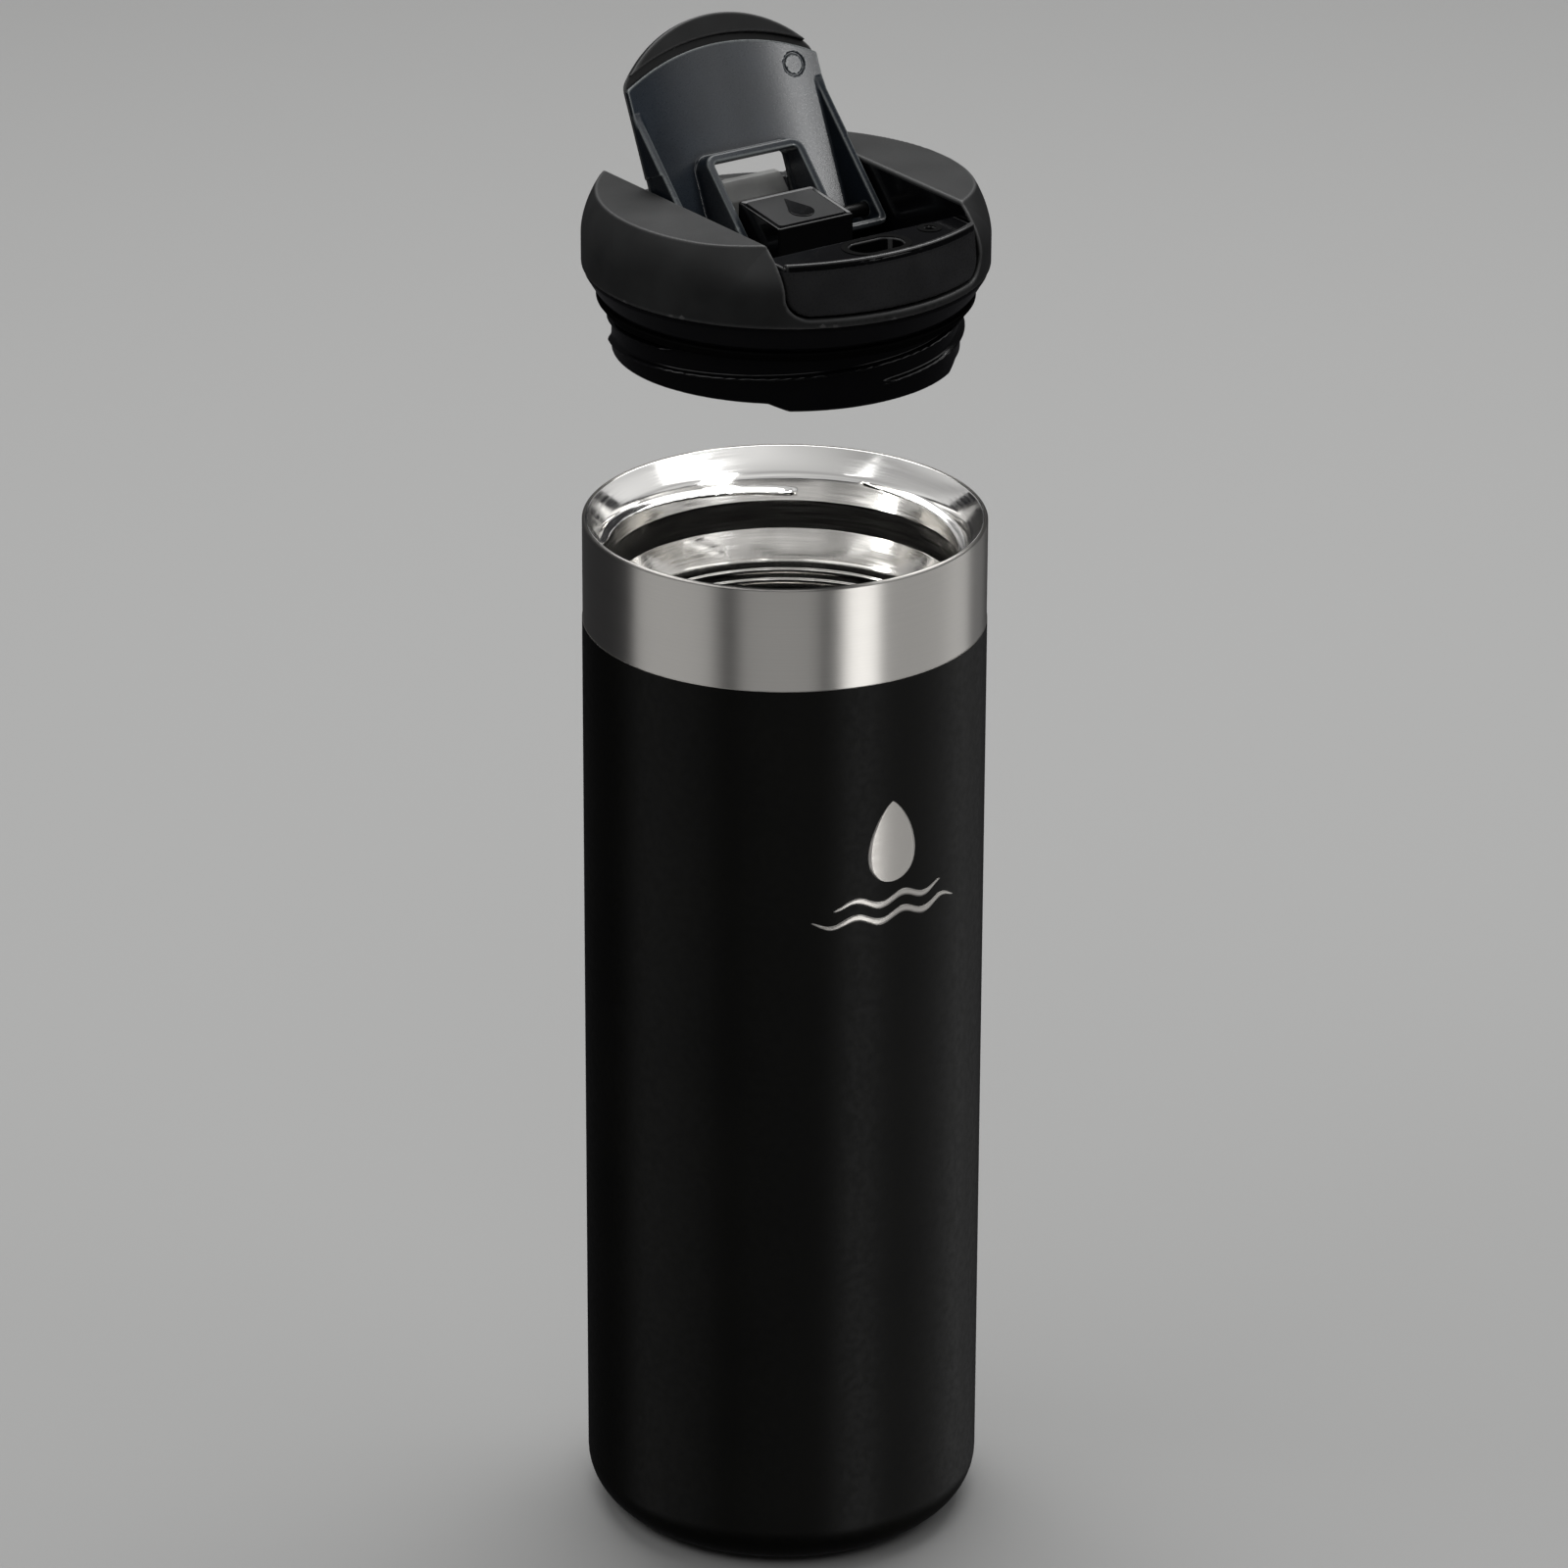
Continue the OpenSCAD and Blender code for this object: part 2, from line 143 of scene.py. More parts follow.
# Flip cover: plan, level of its underside, thicknesses, and the wedge of its side walls
HALF_COVER = 20.3
COVER_BACK = 4.6
COVER_Z = 12.2
COVER_T = 2.0
PANEL_T = 1.02
SKIN_LOW = 1.04
SIDE_T = 1.55
WEDGE_SLOPE = 0.371
WEDGE_TIP_Y = -22
HEEL_Y = 6.0
TAB_ARC = 26.3
TAB_Y = -11.3
GAP_Y = -11.4
GAP_SIDE = 0.9

# Ring-shaped moulding mark on the cover's underside
RING = (15.0, -25.8)
RING_R = 2.0
RING_GROOVE = 0.25

# Hinge, open as the joint rests
HINGE = next(j for j in frame["joints"] if j["name"] == "cover_hinge")
HINGE_Y = HINGE["pos_m"][1] / MM
HINGE_Z = HINGE["pos_m"][2] / MM - DATUM
OPEN_ANGLE = -math.radians(HINGE["range_deg"][0])
PIN_R = 1.3

# Hinge block, whose top slopes up to the rear
HALF_BLOCK = 8.0
BLOCK_FRONT = -9.2
BLOCK_BACK = 3.4
BLOCK_LOW = 11.4
BLOCK_HIGH = 13.0
BLOCK_SLOPE = math.atan2(BLOCK_HIGH - BLOCK_LOW, BLOCK_BACK - BLOCK_FRONT)


# ---------- surfaces from distance fields ----------

CORNERS = np.array([(i, j, k) for i in (0, 1) for j in (0, 1) for k in (0, 1)])
EDGES = [
    (a, b)
    for a in range(8)
    for b in range(a + 1, 8)
    if abs(CORNERS[a] - CORNERS[b]).sum() == 1
]


def both(a, b, r):
    """Field of the space inside a and b, with the edge between them rounded."""
    rim = np.hypot(np.maximum(a + r, 0), np.maximum(b + r, 0))
    return np.minimum(np.maximum(a, b), -r) + rim


def either(a, b, r):
    """Field of a and b together, with the corner between them filled."""
    corner = np.hypot(np.maximum(r - a, 0), np.maximum(r - b, 0))
    return np.maximum(np.minimum(a, b), r) - corner


def slopes(field, points, reach=0.01):
    """Gradient of a field at points."""
    out = np.empty_like(points)
    for axis in range(3):
        step = np.zeros(3)
        step[axis] = reach
        ahead = field(*(points + step).T)
        behind = field(*(points - step).T)
        out[:, axis] = (ahead - behind) / (2 * reach)
    return out


def crossings(corner):
    """Mean place of the field's sign changes along the edges of each cell, from its corner values."""
    total = np.zeros((len(corner), 3))
    hits = np.zeros(len(corner))
    for a, b in EDGES:
        crossing = (corner[:, a] < 0) != (corner[:, b] < 0)
        share = np.where(crossing, corner[:, a] / (corner[:, a] - corner[:, b] + ~crossing), 0)
        total += crossing[:, None] * (CORNERS[a] + share[:, None] * (CORNERS[b] - CORNERS[a]))
        hits += crossing
    return total / hits[:, None]


def net(field, low, high, step):
    """Points, quads and normals of the surface where the field is zero."""
    low = np.array(low, float)
    axes = [np.arange(a, b + step, step) for a, b in zip(low, high)]
    grid = np.meshgrid(*axes, indexing="ij", sparse=True)
    value = field(*grid) + np.zeros([len(a) for a in axes])
    inside = value < 0
    nx, ny, nz = [size - 1 for size in value.shape]
    count = sum(inside[i : i + nx, j : j + ny, k : k + nz].astype(np.int8) for i, j, k in CORNERS)
    mixed = (count > 0) & (count < 8)
    cells = np.argwhere(mixed)
    ids = np.full(mixed.shape, -1)
    ids[mixed] = np.arange(len(cells))
    at = cells[:, None, :] + CORNERS
    points = low + (cells + crossings(value[at[..., 0], at[..., 1], at[..., 2]])) * step
    quads = []
    for axis in range(3):
        near = np.take(inside, range(value.shape[axis] - 1), axis)
        far = np.take(inside, range(1, value.shape[axis]), axis)
        edge = np.argwhere(near != far)
        u = np.eye(3, dtype=int)[(axis + 1) % 3]
        v = np.eye(3, dtype=int)[(axis + 2) % 3]
        ring = np.stack([edge, edge - u, edge - u - v, edge - v], 1)
        quad = ids[ring[..., 0], ring[..., 1], ring[..., 2]]
        outward = near[edge[:, 0], edge[:, 1], edge[:, 2]]
        quads.append(np.where(outward[:, None], quad, quad[:, ::-1]))
    for _ in range(4):
        slope = slopes(field, points)
        steep = np.maximum((slope**2).sum(1), 0.05)
        move = (field(*points.T) / steep)[:, None] * slope
        points = points - np.clip(move, -step / 2, step / 2)
    slope = slopes(field, points)
    normals = slope / np.maximum(np.linalg.norm(slope, axis=1), 1e-6)[:, None]
    return points, np.concatenate(quads), normals


# ---------- making pieces ----------


def add(name, data):
    """New object in the scene."""
    made = bpy.data.objects.new(name, data)
    bpy.context.scene.collection.objects.link(made)
    return made


def place(piece, body, slot, *nodes):
    """Lets a finished piece ride on its body and stand for its CAD nodes."""
    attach(piece, body)
    if nodes:
        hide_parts(*nodes)


def make(name, points, faces, materials, normals=None, pick=None):
    """Mesh object from points. pick chooses each face's material from its centre and normal."""
    mesh = bpy.data.meshes.new(name)
    mesh.from_pydata((np.asarray(points) * MM).tolist(), [], np.asarray(faces).tolist())
    mesh.shade_smooth()
    for item in materials:
        mesh.materials.append(item)
    if pick:
        centre = np.empty(len(mesh.polygons) * 3)
        facing = np.empty(len(mesh.polygons) * 3)
        mesh.polygons.foreach_get("center", centre)
        mesh.polygons.foreach_get("normal", facing)
        chosen = pick(centre.reshape(-1, 3) / MM, facing.reshape(-1, 3))
        mesh.polygons.foreach_set("material_index", chosen.astype(np.int32))
    if normals is not None:
        mesh.normals_split_custom_set_from_vertices(normals.tolist())
    return add(name, mesh)


def shift(points, dz):
    """Points moved up by dz."""
    return points + np.array([0, 0, dz])


def swing(points):
    """Points or normals of the closed cover, turned to the open rest pose."""
    turn = Matrix.Rotation(OPEN_ANGLE, 3, Vector(HINGE["axis"]))
    return points @ np.array(turn).T


def swing_open(points):
    """Points of the closed cover, in the lid's heights, moved to the open rest pose in the row frame."""
    pivot = np.array([0, HINGE_Y, HINGE_Z])
    return shift(swing(points - pivot) + pivot, DATUM)


def rounded(corners, count=6):
    """Closed outline with each corner (x, y, radius) turned into an arc."""
    out = []
    for i, (x, y, radius) in enumerate(corners):
        here = Vector((x, y))
        if not radius:
            out.append((x, y))
            continue
        back = (Vector(corners[i - 1][:2]) - here).normalized()
        ahead = (Vector(corners[(i + 1) % len(corners)][:2]) - here).normalized()
        half = back.angle(ahead) / 2
        centre = here + (back + ahead).normalized() * radius / math.sin(half)
        start = here + back * radius / math.tan(half) - centre
        end = here + ahead * radius / math.tan(half) - centre
        first = math.atan2(start.y, start.x)
        sweep = (math.atan2(end.y, end.x) - first + math.pi) % (2 * math.pi) - math.pi
        for k in range(count + 1):
            angle = first + sweep * k / count
            out.append((centre.x + radius * math.cos(angle), centre.y + radius * math.sin(angle)))
    return out


def fine(outline, step, low, high):
    """Outline with its stretches between two heights cut into short steps."""
    out = []
    for (r0, z0), (r1, z1) in zip(outline, outline[1:] + outline[:1]):
        inside = min(z0, z1) >= low - 1e-6 and max(z0, z1) <= high + 1e-6
        parts = max(1, math.ceil(math.hypot(r1 - r0, z1 - z0) / step)) if inside else 1
        out += [(r0 + (r1 - r0) * k / parts, z0 + (z1 - z0) * k / parts) for k in range(parts)]
    return out


def revolve(name, outline, materials, warp=None, closed=True, pick=None, dz=0):
    """Outline of (radius, height) turned about the axis. warp changes both at each turn angle."""
    r, z = np.array(outline, float).T
    rows = len(outline)
    turn = np.linspace(0, 2 * np.pi, SEGMENTS, endpoint=False)[:, None]
    r = np.broadcast_to(r, (SEGMENTS, rows))
    z = np.broadcast_to(z, (SEGMENTS, rows))
    if warp:
        r, z = warp(r, z, np.degrees(turn))
    points = np.stack([r * np.sin(turn), -r * np.cos(turn), z + dz], -1).reshape(-1, 3)
    j = np.arange(rows if closed else rows - 1)
    i = np.arange(SEGMENTS)[:, None]
    here = i * rows
    after = (i + 1) % SEGMENTS * rows
    above = (j + 1) % rows
    quads = np.stack([here + j, after + j, after + above, here + above], -1).reshape(-1, 4)
    piece = make(name, points, quads, materials, pick=pick)
    work = bmesh.new()
    work.from_mesh(piece.data)
    bmesh.ops.remove_doubles(work, verts=work.verts, dist=1e-7)
    bmesh.ops.recalc_face_normals(work, faces=work.faces)
    work.to_mesh(piece.data)
    work.free()
    piece.data.set_sharp_from_angle(angle=math.radians(50))
    weighted = piece.modifiers.new("even_normals", "WEIGHTED_NORMAL")
    weighted.keep_sharp = True
    return piece


def ridges(z, turn, bottom, first, sweep, depth, half):
    """Height of the thread's ridges over the wall. The first starts at the given turn and height."""
    out = 0
    for start in np.arange(STARTS) * 360 / STARTS:
        along = (turn - first - start) % 360
        across = np.clip((z - bottom - LEAD * along / 360) / half, -1, 1)
        ends = np.clip(np.minimum(along, sweep - along) / FADE, 0, 1)
        out = np.maximum(out, depth * np.cos(across * np.pi / 2) ** 2 * np.sin(ends * np.pi / 2))
    return out


def slab(name, base, lift, material, edge, seat=None):
    """Flat outline of points in metres drawn along lift, with soft edges.
    seat is the margin and the depth of a shallow seat in the top face."""
    work = bmesh.new()
    foot = work.faces.new([work.verts.new(point) for point in base])
    grown = bmesh.ops.extrude_face_region(work, geom=[foot])["geom"]
    moved = [g for g in grown if isinstance(g, bmesh.types.BMVert)]
    bmesh.ops.translate(work, verts=moved, vec=lift)
    bmesh.ops.recalc_face_normals(work, faces=work.faces)
    if seat:
        margin, depth = seat
        top = max(work.faces, key=lambda f: f.normal.z)
        bmesh.ops.inset_region(work, faces=[top], thickness=margin * MM, depth=-depth * MM)
    mesh = bpy.data.meshes.new(name)
    work.to_mesh(mesh)
    work.free()
    mesh.shade_smooth()
    mesh.materials.append(material)
    piece = add(name, mesh)
    soften(piece, edge)
    return piece


def prism(name, outline, half_x, material, edge, seat=None):
    """Outline in (y, z), in the lid's heights, drawn across x."""
    base = [Vector((-half_x, y, z + DATUM)) * MM for y, z in outline]
    return slab(name, base, (2 * half_x * MM, 0, 0), material, edge, seat)


def soften(piece, width):
    """Rounds a piece's hard edges."""
    bevel = piece.modifiers.new("edges", "BEVEL")
    bevel.width = width * MM
    bevel.segments = 4
    bevel.limit_method = "ANGLE"
    bevel.angle_limit = math.radians(25)
    bevel.harden_normals = True


# ---------- materials ----------


class Shader:
    """A principled material and the few node moves its finish needs."""

    def __init__(self, name, colour, rough, metal=0.0, specular=0.5):
        self.material = bpy.data.materials.new(name)
        self.material.use_nodes = True
        self.nodes = self.material.node_tree.nodes
        self.links = self.material.node_tree.links
        self.bsdf = self.nodes["Principled BSDF"]
        self.place = self.nodes.new("ShaderNodeTexCoord").outputs["Object"]
        self.set("Base Color", (*colour, 1))
        self.set("Roughness", rough)
        self.set("Metallic", metal)
        self.set("Specular IOR Level", specular)

    def set(self, name, value):
        """Fixed value of one of the surface's inputs."""
        self.bsdf.inputs[name].default_value = value

    def node(self, kind, **values):
        """New node with its settings."""
        made = self.nodes.new("ShaderNode" + kind)
        for key, value in values.items():
            setattr(made, key, value)
        return made

    def noise(self, scale, detail=4.0, stretch=(1, 1, 1)):
        """Noise over the row frame. scale is in features per metre."""
        spread = self.node("Mapping")
        spread.inputs["Scale"].default_value = stretch
        self.links.new(self.place, spread.inputs["Vector"])
        made = self.node("TexNoise")
        made.inputs["Scale"].default_value = scale
        made.inputs["Detail"].default_value = detail
        self.links.new(spread.outputs[0], made.inputs["Vector"])
        return made.outputs["Fac"]

    def polar(self):
        """Turn angle, radius and height as a vector, for marks that run round the axis."""
        split = self.node("SeparateXYZ")
        self.links.new(self.place, split.inputs[0])
        turn = self.node("Math", operation="ARCTAN2")
        self.links.new(split.outputs["X"], turn.inputs[0])
        self.links.new(split.outputs["Y"], turn.inputs[1])
        flat = self.node("VectorMath", operation="MULTIPLY")
        flat.inputs[1].default_value = (1, 1, 0)
        self.links.new(self.place, flat.inputs[0])
        radius = self.node("VectorMath", operation="LENGTH")
        self.links.new(flat.outputs[0], radius.inputs[0])
        joined = self.node("CombineXYZ")
        self.links.new(turn.outputs[0], joined.inputs["X"])
        self.links.new(radius.outputs["Value"], joined.inputs["Y"])
        self.links.new(split.outputs["Z"], joined.inputs["Z"])
        return joined.outputs[0]

    def rings(self, around, across, detail=2.0):
        """Noise drawn out into lines round the axis: features per radian, and per metre across them."""
        stretched = self.node("VectorMath", operation="MULTIPLY")
        stretched.inputs[1].default_value = (around, across, across)
        self.links.new(self.polar(), stretched.inputs[0])
        made = self.node("TexNoise")
        made.inputs["Scale"].default_value = 1.0
        made.inputs["Detail"].default_value = detail
        self.links.new(stretched.outputs[0], made.inputs["Vector"])
        return made.outputs["Fac"]

    def span(self, value, low, high, start=0.35, end=0.65):
        """Maps a value between start and end, where noise mostly lies, to a range."""
        made = self.node("MapRange")
        made.inputs["From Min"].default_value = start
        made.inputs["From Max"].default_value = end
        made.inputs["To Min"].default_value = low
        made.inputs["To Max"].default_value = high
        self.links.new(value, made.inputs["Value"])
        return made.outputs["Result"]

    def mix(self, value):
        """Mix of two colours, driven by a value."""
        made = self.node("Mix", data_type="RGBA")
        self.links.new(value, made.inputs[0])
        return made

    def tint(self, value, dark, light):
        """Drives the base colour between two colours."""
        mix = self.mix(self.span(value, 0, 1))
        mix.inputs[6].default_value = (*dark, 1)
        mix.inputs[7].default_value = (*light, 1)
        self.links.new(mix.outputs[2], self.bsdf.inputs["Base Color"])

    def paint_edge_highlight(self, colour):
        """Turns the base colour to another along outward edges, where pointiness is over one half: a
        painted highlight where the edges' fillets would catch light.
        """
        bend = self.node("NewGeometry").outputs["Pointiness"]
        mix = self.mix(self.span(bend, 0, 1, 0.51, 0.56))
        base = self.bsdf.inputs["Base Color"]
        self.links.new(base.links[0].from_socket, mix.inputs[6])
        mix.inputs[7].default_value = (*colour, 1)
        self.links.new(mix.outputs[2], base)

    def rough(self, value, low, high):
        """Drives the roughness between two values."""
        self.links.new(self.span(value, low, high), self.bsdf.inputs["Roughness"])

    def bump(self, value, height_mm, strength=1.0):
        """Surface relief from a value, in millimetres. Reliefs stack."""
        made = self.node("Bump")
        made.inputs["Strength"].default_value = strength
        made.inputs["Distance"].default_value = height_mm * MM
        self.links.new(value, made.inputs["Height"])
        before = self.bsdf.inputs["Normal"]
        if before.is_linked:
            self.links.new(before.links[0].from_socket, made.inputs["Normal"])
        self.links.new(made.outputs[0], before)


def scaled(colour, share):
    """Darker or lighter version of a colour."""
    return [c * share for c in colour]


def coat_finish():
    """Fine powder coat, nearly black."""
    coat = Shader("powder_coat", (0.002, 0.002, 0.0016), 0.42, specular=0.08)
    coat.tint(coat.noise(45, 3), (0.0012, 0.0012, 0.0008), (0.0022, 0.0021, 0.0015))
    coat.rough(coat.noise(700, 5), 0.33, 0.41)
    coat.bump(coat.noise(3200, 3), 0.012)
    return coat.material


def brushed_finish(name, colour, low=0.31, high=0.35):
    """Steel with fine lines that run round the axis, and highlights drawn out across them."""
    steel = Shader(name, colour, 0.33, metal=1.0)
    lines = steel.rings(1.5, 9000, 6)
    steel.rough(lines, low, high)
    steel.tint(lines, scaled(colour, 0.95), colour)
    steel.bump(lines, 0.0004, 0.5)
    tangent = steel.node("Tangent", direction_type="RADIAL", axis="Z")
    steel.links.new(tangent.outputs[0], steel.bsdf.inputs["Tangent"])
    steel.set("Anisotropic", 0.75)
    steel.set("Anisotropic Rotation", 0.25)
    return steel.material


def polished_finish():
    """Bright polished steel of the drink space and the mouth."""
    steel = Shader("polished_steel", (0.80, 0.79, 0.77), 0.09, metal=1.0)
    lines = steel.rings(2, 2500)
    steel.rough(lines, 0.06, 0.15)
    steel.bump(lines, 0.003, 0.5)
    steel.bump(steel.noise(60, 2), 0.05, 0.3)
    return steel.material


def plastic_finish(name, colour, low, high, grain, height, specular=0.5, edge=None):
    """Moulded plastic. low and high bound its roughness, grain is in features per metre,
    height is the grain's relief in millimetres, edge is the lighter colour of a painted highlight along
    outward edges."""
    plastic = Shader(name, colour, (low + high) / 2, specular=specular)
    plastic.tint(plastic.noise(120, 4), scaled(colour, 0.82), scaled(colour, 1.15))
    # Painted highlight: a lighter colour along outward edges, standing in for light caught by their
    # fillets
    if edge:
        plastic.paint_edge_highlight(edge)
    plastic.rough(plastic.noise(grain * 1.7, 4), low, high)
    plastic.bump(plastic.noise(grain, 3), height)
    return plastic.material


def steel_finish(name, colour, rough):
    """Small turned or rolled metal pieces."""
    metal = Shader(name, colour, rough, metal=1.0)
    metal.tint(metal.noise(500, 4), scaled(colour, 0.8), colour)
    metal.rough(metal.noise(1800, 4, (1, 1, 6)), rough * 0.8, rough * 1.3)
    metal.bump(metal.noise(4000, 2), 0.006)
    return metal.material


BLACK = (0.0030, 0.0030, 0.0034)
DARK_SATIN = (0.007, 0.010, 0.014)
SOFT_BLACK = (0.025, 0.0255, 0.0255)
# Lighter colours for outward edges: painted highlights that stand in for light caught by the fillets
EDGE_HIGHLIGHT_GLOSS = (0.09, 0.09, 0.09)
EDGE_HIGHLIGHT_SATIN = (0.10, 0.11, 0.11)
EDGE_HIGHLIGHT_SOFT = (0.10, 0.10, 0.10)

COAT = coat_finish()
BRUSHED = brushed_finish("brushed_steel", (0.50, 0.485, 0.46))
POLISHED = polished_finish()
ETCHED = brushed_finish("etched_mark", (0.56, 0.54, 0.51), 0.34, 0.46)
GLOSS = plastic_finish("gloss_plastic", BLACK, 0.11, 0.15, 1400, 0.002, 0.35)
# Gloss plastic with a painted highlight along its outward edges
GLOSS_EDGE_HIGHLIGHT = plastic_finish("gloss_edge_highlight", BLACK, 0.11, 0.15, 1400, 0.002, 0.35, EDGE_HIGHLIGHT_GLOSS)
FACE = plastic_finish("spout_face", (0.028, 0.028, 0.029), 0.26, 0.32, 1400, 0.002, 0.3)
# The satin and soft-touch plastics also get a painted highlight along their outward edges
SATIN = plastic_finish("satin_plastic", DARK_SATIN, 0.27, 0.33, 2600, 0.010, 0.5, EDGE_HIGHLIGHT_SATIN)
SOFT = plastic_finish("soft_touch", SOFT_BLACK, 0.40, 0.50, 4200, 0.008, 0.28, EDGE_HIGHLIGHT_SOFT)
SILICONE = plastic_finish("silicone", (0.002, 0.002, 0.002), 0.60, 0.70, 1500, 0.010, 0.03)
BLACKENED = plastic_finish("blackened_steel", (0.003, 0.003, 0.003), 0.3, 0.4, 1500, 0.004, 0.2)
GREY = plastic_finish("grey_plastic", (0.36, 0.36, 0.35), 0.38, 0.48, 2600, 0.014)
PLATE = plastic_finish("badge_plate", (0.015, 0.0155, 0.016), 0.30, 0.38, 3000, 0.012, 0.25)
STEEL = steel_finish("turned_steel", (0.55, 0.54, 0.52), 0.3)
COPPER = steel_finish("copper_foil", (0.72, 0.38, 0.25), 0.25)
GETTER = steel_finish("getter_alloy", (0.20, 0.20, 0.21), 0.6)
BEAD = plastic_finish("glass_bead", (0.10, 0.11, 0.12), 0.06, 0.12, 600, 0.010)


# ---------- mug ----------


def mug_shell():
    """Outer wall: coated below the band, rolled over at the rim."""
    steel_r = BODY_R - COAT_T
    inner_r = steel_r - SHELL_T
    coat_top = RIM - BAND_H
    outline = rounded(
        [
            (BASE_OPENING_R, 0, 0),
            (BODY_R, 0, FOOT_ROUND),
            (BODY_R, coat_top, 0.05),
            (steel_r, coat_top, 0),
            (steel_r, RIM, 0.55),
            (inner_r, RIM, 0),
            (inner_r, SHELL_T, FOOT_ROUND - COAT_T - SHELL_T),
            (BASE_OPENING_R, SHELL_T, 0),
        ],
        12,
    )

    def pick(centre, facing):
        """Bare steel above the coating's edge, on the inside and round the base's opening."""
        r = np.hypot(centre[:, 0], centre[:, 1])
        z = centre[:, 2]
        from_round = np.hypot(np.maximum(r - BODY_R + FOOT_ROUND, 0), np.maximum(FOOT_ROUND - z, 0))
        return (z > coat_top - 0.06) | (from_round < FOOT_ROUND - 0.3) | (r < BASE_OPENING_R + 2)

    piece = revolve("mug_shell", outline, [COAT, BRUSHED], pick=pick)
    place(piece, "mug", "coated_steel", "outer_shell")


def mug_liner():
    """Drink bottle: funnel mouth, rolled thread, straight wall and rounded floor."""
    low_wall = RIM - 25.5
    waist = RIM - 21
    throat = RIM - 15
    throat_r = MOUTH_R - 0.5
    top_r = BODY_R - COAT_T - SHELL_T - 0.05
    outline = rounded(
        [
            (0, DRINK_FLOOR, 0),
            (DRINK_R, DRINK_FLOOR, 6),
            (DRINK_R, low_wall, 0),
            (DRINK_R, waist, 6),
            (throat_r, throat, 0.5),
            (throat_r, RIM - 10.0, 0.3),
            (MOUTH_R - 0.6, RIM - 9.5, 0.25),
            (MOUTH_R - 0.45, RIM - 8.9, 0.4),
            (MOUTH_R + 0.5, RIM - 4.8, 6),
            (top_r - 0.15, RIM - 0.05, 0.25),
            (top_r, RIM - 0.12, 0),
            (top_r, RIM - 1.4, 0),
            (MOUTH_R + 1.4, RIM - 4.6, 1.0),
            (MOUTH_R + LINER_T, RIM - 6.6, 0),
            (MOUTH_R + LINER_T, throat, 0.6),
            (DRINK_R + LINER_T, waist, 6),
            (DRINK_R + LINER_T, DRINK_FLOOR - LINER_T, 6.5),
            (0, DRINK_FLOOR - LINER_T, 0),
        ],
        8,
    )

    def warp(r, z, turn):
        """Rolled thread in the mouth, and two low beads round the wall below it."""
        rise = ridges(z, turn, bottom=RIM - 8, first=22, sweep=97, depth=1.25, half=0.75)
        beads = sum(0.16 * np.maximum(0, 1 - ((z - RIM + depth) / 0.55) ** 2) for depth in (22.7, 24.7))
        return r - rise * (r < MOUTH_R + 0.48) - beads * (r < DRINK_R + 0.05), z + 0 * turn

    outline = fine(outline, 0.16, low_wall, RIM - 3)
    piece = revolve("mug_liner", outline, [POLISHED], warp, closed=False)
    place(piece, "mug", "polished_steel", "inner_liner")


def mark_patch(name, rows, columns, spot):
    """Thin patch on the coat. spot gives arc length and height for two shares from 0 to 1."""
    u, v = np.meshgrid(np.linspace(0, 1, columns), np.linspace(0, 1, rows))
    arc, z = spot(u.ravel(), v.ravel())
    skin = BODY_R + 0.04
    points = np.stack([skin * np.sin(arc / BODY_R), -skin * np.cos(arc / BODY_R), z], -1)
    i, j = np.meshgrid(np.arange(rows - 1), np.arange(columns - 1), indexing="ij")
    first = (i * columns + j).ravel()
    faces = np.stack([first, first + 1, first + columns + 1, first + columns], -1)
    piece = make(name, points, faces, [ETCHED])
    thick = piece.modifiers.new("thickness", "SOLIDIFY")
    thick.thickness = 0.06 * MM
    thick.offset = -1
    place(piece, "mug", "plain_steel")


def body_marks():
    """Plain etched mark: a drop over two waves."""
    middle = -2.0
    wave_high = 134.6
    wave_low = 131.4
    drop_low = 138.0
    drop_h = 15.5
    drop_half = 6.864
    wave_h = 0.75
    wave_length = 9.5
    wave_thick = 1.3

    def drop(side, up):
        """Pointed at the top, widest below the middle."""
        half = drop_half * np.sin(np.pi * (1 - up)) * (1 - up) ** 0.55
        return (2 * side - 1) * half + middle, drop_low + drop_h * (1 - np.cos(np.pi * up)) / 2

    def wave(level, half_w):
        """Wavy stroke with tapered ends."""

        def spot(along, up):
            arc = (2 * along - 1) * half_w
            taper = np.clip(4 * np.minimum(along, 1 - along), 0, 1) ** 0.5
            crest = level + wave_h * np.sin(arc * 2 * np.pi / wave_length)
            return arc + middle, crest + wave_thick * taper * (up - 0.5)

        return spot

    mark_patch("mark_drop", 33, 13, drop)
    mark_patch("mark_wave_high", 4, 61, wave(wave_high, 11.5))
    mark_patch("mark_wave_low", 4, 81, wave(wave_low, 15.5))


# ---------- lid ----------


def rod(y, z, r):
    """Field of a rod along the hinge."""
    return np.hypot(y - HINGE_Y, z - HINGE_Z) - r


def smooth_line(value, xs, ys, blur=0.45):
    """Broken line through points, with softened bends."""
    return sum(np.interp(value + blur * k / 3, xs, ys) for k in range(-3, 4)) / 7


